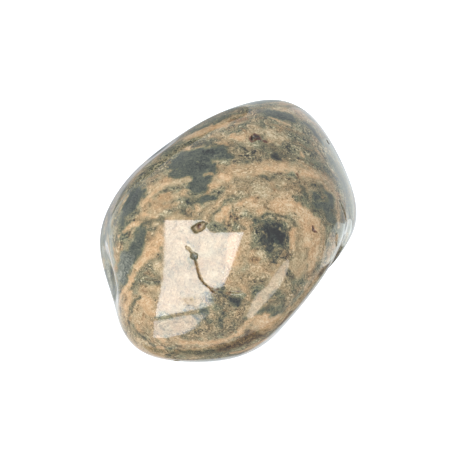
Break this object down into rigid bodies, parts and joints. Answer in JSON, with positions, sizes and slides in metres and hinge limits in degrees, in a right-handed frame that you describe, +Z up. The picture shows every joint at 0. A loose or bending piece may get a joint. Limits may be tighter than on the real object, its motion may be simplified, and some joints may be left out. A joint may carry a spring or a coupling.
{
  "type": "tumbled stone",
  "caption": "Polished tumbled ocean jasper stone with worn, rounded sides, an open crack and small pits, lying on a flat underside.",
  "frame": {"origin": "on the flat resting face, under the middle of the stone", "axes": "+Z up from the surface that the stone rests on, +X along its longest side"},
  "size_m": [0.0412, 0.0341, 0.0261],
  "materials": {
    "polished_jasper": "high polish, banded and mottled grey-green, tan and peach"
  },
  "bodies": {
    "root": {"stone": "polished_jasper"}
  },
  "joints": []
}
